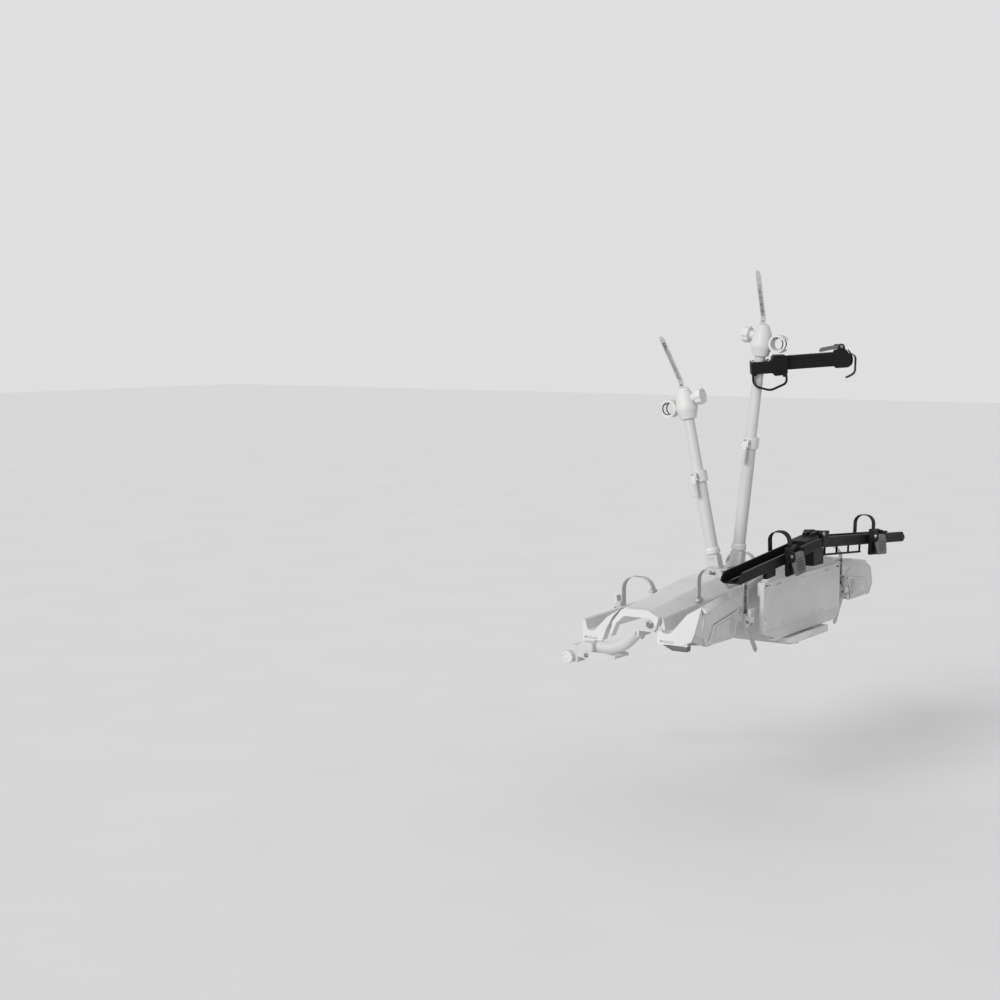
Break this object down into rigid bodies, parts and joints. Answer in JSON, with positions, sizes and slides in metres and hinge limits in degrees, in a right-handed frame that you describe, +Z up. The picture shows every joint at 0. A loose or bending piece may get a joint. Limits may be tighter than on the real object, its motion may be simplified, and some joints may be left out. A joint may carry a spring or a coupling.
{
  "type": "hitch bike rack",
  "caption": "Folding tow ball rack with two wheel trays, two telescopic masts with frame claws, lights, plate holder and a raised wheel rail with a frame arm",
  "frame": {"origin": "middle of the tow ball", "axes": "X across the vehicle, +Y forward to the vehicle, +Z up"},
  "size_m": [1.3269, 1.0374, 1.3693],
  "materials": {
    "pale_paint": "smooth pale grey paint",
    "pale_plastic": "pale grey moulded plastic, matt",
    "strap": "flexible ribbed plastic band",
    "lens": "pale moulded lens",
    "steel": "plain steel",
    "black_plastic": "black moulded plastic, satin",
    "black_paint": "black powder coat",
    "grey_lever": "mid grey plastic"
  },
  "bodies": {
    "coupling": {"coupling_housing": "pale_paint", "jaw_pin": "steel", "neck_tube": "pale_paint", "hinge_fork": "pale_paint", "tilt_pin": "steel"},
    "jaw": {"clamp_jaw": "pale_paint"},
    "clamp_lever": {"clamp_lever": "pale_paint"},
    "clamp_knob": {"clamp_knob": "pale_plastic"},
    "platform": {"centre_chassis": "pale_paint", "main_beam": "pale_paint", "rear_post": "pale_paint", "rear_hood": "pale_plastic", "plate_holder": "pale_plastic", "mast_bracket": "pale_paint", "mast_pin": "steel", "rail_bracket": "black_paint", "rail_right": "black_plastic", "rail_pin": "steel"},
    "pedal": {"release_pedal": "pale_plastic"},
    "push_rod": {"push_rod": "steel"},
    "wing_left": {"wing_deck_left": "pale_plastic", "end_frame_left": "pale_plastic", "light_housing_left": "pale_plastic", "light_lens_left": "lens", "wheel_strap_front_left": "strap", "wheel_strap_rear_left": "strap"},
    "strap_lever_front_left": {"strap_lever_front_left": "pale_plastic"},
    "strap_lever_rear_left": {"strap_lever_rear_left": "pale_plastic"},
    "wing_right": {"wing_deck_right": "pale_plastic", "end_frame_right": "pale_plastic", "light_housing_right": "pale_plastic", "light_lens_right": "lens", "wheel_strap_front_right": "strap", "wheel_strap_rear_right": "strap"},
    "strap_lever_front_right": {"strap_lever_front_right": "pale_plastic"},
    "strap_lever_rear_right": {"strap_lever_rear_right": "pale_plastic"},
    "mast_one": {"mast_one_lower": "pale_paint", "mast_one_collar": "pale_plastic"},
    "mast_one_upper": {"mast_one_upper": "pale_paint"},
    "mast_one_claw": {"mast_one_claw": "pale_plastic", "mast_one_strap": "pale_plastic"},
    "mast_one_knob": {"mast_one_knob": "pale_plastic"},
    "mast_one_lever": {"mast_one_lever": "pale_plastic"},
    "mast_two": {"mast_two_lower": "pale_paint", "mast_two_collar": "pale_plastic"},
    "mast_two_upper": {"mast_two_upper": "pale_paint"},
    "mast_two_claw": {"mast_two_claw": "pale_plastic", "mast_two_strap": "pale_plastic"},
    "mast_two_knob": {"mast_two_knob": "pale_plastic"},
    "mast_two_lever": {"mast_two_lever": "pale_plastic"},
    "rail_left": {"rail_left": "black_plastic"},
    "rail_strap_left": {"rail_strap_left": "black_plastic"},
    "rail_lever_left": {"rail_lever_left": "grey_lever"},
    "rail_strap_right": {"rail_strap_right": "black_plastic"},
    "rail_lever_right": {"rail_lever_right": "grey_lever"},
    "arm_clamp": {"arm_clamp": "black_plastic"},
    "arm_bar": {"arm_bar": "black_plastic"},
    "arm_lever": {"arm_lever": "grey_lever"}
  },
  "joints": [
    {"name": "jaw_slide", "type": "slide", "parent": "coupling", "child": "jaw", "axis": [0, 1, 0], "range_m": [0, 0.014]},
    {"name": "clamp_lever_hinge", "type": "hinge", "parent": "coupling", "child": "clamp_lever", "pos_m": [0, -0.034, 0], "axis": [1, 0, 0], "range_deg": [0, 50]},
    {"name": "clamp_knob_turn", "type": "hinge", "parent": "jaw", "child": "clamp_knob", "pos_m": [-0.04, 0.044, -0.015], "axis": [1, 0, 0], "continuous": true},
    {"name": "platform_tilt", "type": "hinge", "parent": "coupling", "child": "platform", "pos_m": [0, -0.29, 0.136], "axis": [1, 0, 0], "range_deg": [0, 45]},
    {"name": "pedal_hinge", "type": "hinge", "parent": "platform", "child": "pedal", "pos_m": [0, -0.786, 0.158], "axis": [1, 0, 0], "range_deg": [0, 20], "stiffness_Nm_per_rad": 3},
    {"name": "push_rod_slide", "type": "slide", "parent": "platform", "child": "push_rod", "axis": [0, 1, 0], "range_m": [0, 0.0192]},
    {"name": "wing_left_fold", "type": "hinge", "parent": "platform", "child": "wing_left", "pos_m": [-0.15, -0.6, 0.306], "axis": [0, 1, 0], "range_deg": [0, 90]},
    {"name": "strap_lever_front_left_hinge", "type": "hinge", "parent": "wing_left", "child": "strap_lever_front_left", "pos_m": [-0.37, -0.3567, 0.247], "axis": [-1, 0, 0], "range_deg": [0, 70]},
    {"name": "strap_lever_rear_left_hinge", "type": "hinge", "parent": "wing_left", "child": "strap_lever_rear_left", "pos_m": [-0.37, -0.8313, 0.247], "axis": [1, 0, 0], "range_deg": [0, 70]},
    {"name": "wing_right_fold", "type": "hinge", "parent": "platform", "child": "wing_right", "pos_m": [0.15, -0.6, 0.306], "axis": [0, -1, 0], "range_deg": [0, 90]},
    {"name": "strap_lever_front_right_hinge", "type": "hinge", "parent": "wing_right", "child": "strap_lever_front_right", "pos_m": [0.37, -0.3567, 0.247], "axis": [-1, 0, 0], "range_deg": [0, 70]},
    {"name": "strap_lever_rear_right_hinge", "type": "hinge", "parent": "wing_right", "child": "strap_lever_rear_right", "pos_m": [0.37, -0.8313, 0.247], "axis": [1, 0, 0], "range_deg": [0, 70]},
    {"name": "mast_one_fold", "type": "hinge", "parent": "platform", "child": "mast_one", "pos_m": [-0.075, -0.56, 0.345], "axis": [-1, 0, 0], "range_deg": [0, 85]},
    {"name": "mast_one_height", "type": "slide", "parent": "mast_one", "child": "mast_one_upper", "axis": [0, 0.2113, 0.9774], "range_m": [-0.08, 0.1]},
    {"name": "mast_one_claw_turn", "type": "hinge", "parent": "mast_one_upper", "child": "mast_one_claw", "pos_m": [-0.075, -0.43997, 0.90017], "axis": [0, 0.2113, 0.9774], "range_deg": [-90, 90]},
    {"name": "mast_one_knob_turn", "type": "hinge", "parent": "mast_one_claw", "child": "mast_one_knob", "pos_m": [-0.075, -0.49048, 0.93156], "axis": [0, -0.9774, 0.2113], "continuous": true},
    {"name": "mast_one_lever_hinge", "type": "hinge", "parent": "mast_one", "child": "mast_one_lever", "pos_m": [-0.111, -0.49132, 0.66266], "axis": [0, 0.9774, -0.2113], "range_deg": [0, 110]},
    {"name": "mast_two_fold", "type": "hinge", "parent": "platform", "child": "mast_two", "pos_m": [0.075, -0.56, 0.345], "axis": [-1, 0, 0], "range_deg": [0, 95]},
    {"name": "mast_two_height", "type": "slide", "parent": "mast_two", "child": "mast_two_upper", "axis": [0, -0.1063, 0.9943], "range_m": [-0.15, 0.1]},
    {"name": "mast_two_claw_turn", "type": "hinge", "parent": "mast_two_upper", "child": "mast_two_claw", "pos_m": [0.075, -0.64193, 1.11163], "axis": [0, -0.1063, 0.9943], "range_deg": [-90, 90]},
    {"name": "mast_two_knob_turn", "type": "hinge", "parent": "mast_two_claw", "child": "mast_two_knob", "pos_m": [0.075, -0.58837, 1.13747], "axis": [0, 0.9943, 0.1063], "continuous": true},
    {"name": "mast_two_lever_hinge", "type": "hinge", "parent": "mast_two", "child": "mast_two_lever", "pos_m": [0.039, -0.60569, 0.77256], "axis": [0, 0.9943, 0.1063], "range_deg": [0, 110]},
    {"name": "rail_fold", "type": "hinge", "parent": "platform", "child": "rail_left", "pos_m": [-0.048, -0.897, 0.497], "axis": [0, 1, 0], "range_deg": [0, 90]},
    {"name": "rail_strap_left_slide", "type": "slide", "parent": "rail_left", "child": "rail_strap_left", "axis": [-0.9965, 0, -0.0837], "range_m": [-0.12, 0.2]},
    {"name": "rail_lever_left_hinge", "type": "hinge", "parent": "rail_strap_left", "child": "rail_lever_left", "pos_m": [-0.3016, -0.9538, 0.45868], "axis": [-0.9965, 0, -0.0837], "range_deg": [0, 80]},
    {"name": "rail_strap_right_slide", "type": "slide", "parent": "platform", "child": "rail_strap_right", "axis": [0.9972, 0, -0.075], "range_m": [-0.12, 0.2]},
    {"name": "rail_lever_right_hinge", "type": "hinge", "parent": "rail_strap_right", "child": "rail_lever_right", "pos_m": [0.36837, -0.9538, 0.44868], "axis": [-0.9972, 0, 0.075], "range_deg": [0, 80]},
    {"name": "arm_turn", "type": "hinge", "parent": "mast_two_upper", "child": "arm_clamp", "pos_m": [0.075, -0.63385, 1.036], "axis": [0, -0.1063, 0.9943], "range_deg": [-30, 30]},
    {"name": "arm_lever_hinge", "type": "hinge", "parent": "arm_bar", "child": "arm_lever", "pos_m": [0.21109, -0.86728, 1.0972], "axis": [0.8563, 0.5136, 0.0549], "range_deg": [0, 75]},
    {"name": "arm_reach", "type": "slide", "parent": "arm_clamp", "child": "arm_bar", "axis": [0.5094, -0.8573, 0.0744], "range_m": [0, 0.03]}
  ],
  "couplings": [
    {"joint": "clamp_lever_hinge", "follows": "jaw_slide", "rad_per_m": 62.333},
    {"joint": "push_rod_slide", "follows": "pedal_hinge", "m_per_rad": 0.055}
  ]
}
